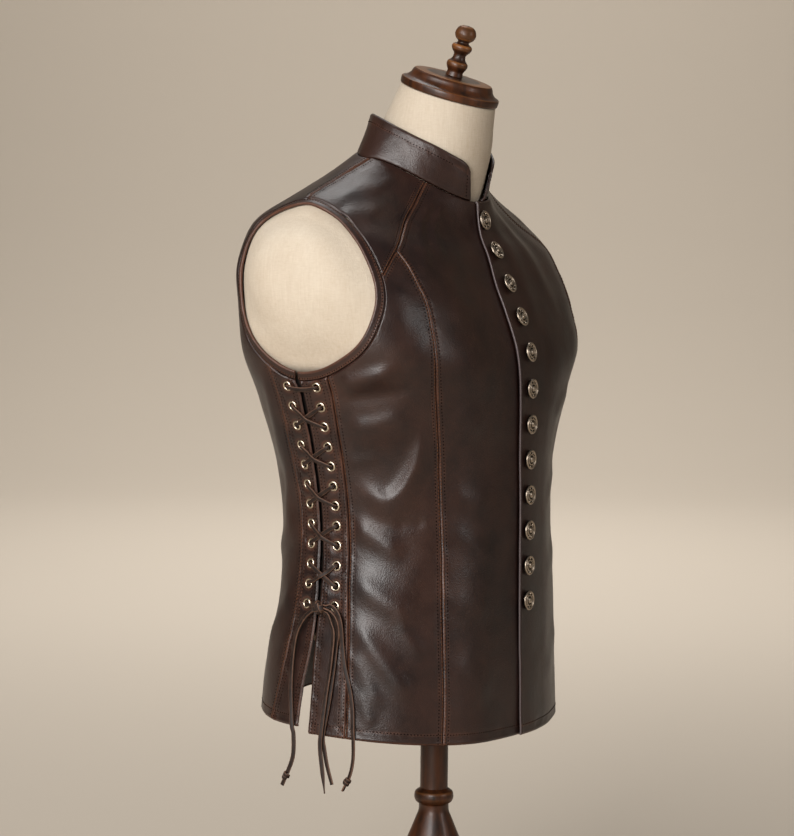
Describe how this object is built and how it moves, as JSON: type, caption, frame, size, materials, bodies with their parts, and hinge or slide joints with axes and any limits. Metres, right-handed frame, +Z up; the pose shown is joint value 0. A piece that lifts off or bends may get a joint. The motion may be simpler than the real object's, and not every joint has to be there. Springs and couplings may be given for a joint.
{
  "type": "medieval leather vest on a limbless dress form with a turned stand",
  "caption": "Sleeveless leather vest with stand collar, metal buttons and laced sides, worn by a canvas-covered dress form on a turned wooden stand.",
  "frame": {"origin": "middle of the base's underside, on the floor", "axes": "+Z up, the wearer faces -Y, the wearer's right side is at -X"},
  "size_m": [0.4224, 0.41, 0.9417],
  "materials": {
    "leather": "waxed, semi-gloss",
    "thong": "matt",
    "thread": "waxed thread",
    "canvas": "plain weave, unglazed",
    "walnut": "satin varnish",
    "metal": "aged, burnished"
  },
  "bodies": {
    "root": {"front_right": "leather", "side_front_right": "leather", "yoke_front_right": "leather", "back_right": "leather", "lace_band_front_right": "leather", "lace_band_back_right": "leather", "armhole_binding_right": "leather", "front_left": "leather", "side_front_left": "leather", "yoke_front_left": "leather", "back_left": "leather", "lace_band_front_left": "leather", "lace_band_back_left": "leather", "armhole_binding_left": "leather", "collar": "leather", "button_01": "metal", "button_02": "metal", "button_03": "metal", "button_04": "metal", "button_05": "metal", "button_06": "metal", "button_07": "metal", "button_08": "metal", "button_09": "metal", "button_10": "metal", "button_11": "metal", "button_12": "metal", "lace_right": "thong", "knot_right": "thong", "tail_a_right": "thong", "tail_b_right": "thong", "tail_c_right": "thong", "tail_d_right": "thong", "tail_a_knot_right": "thong", "tail_d_knot_right": "thong", "lace_left": "thong", "knot_left": "thong", "tail_a_left": "thong", "tail_b_left": "thong", "tail_c_left": "thong", "tail_d_left": "thong", "tail_a_knot_left": "thong", "tail_d_knot_left": "thong", "form_torso": "canvas", "neck_cap": "walnut", "finial": "walnut", "post": "walnut", "base": "walnut"}
  },
  "joints": []
}
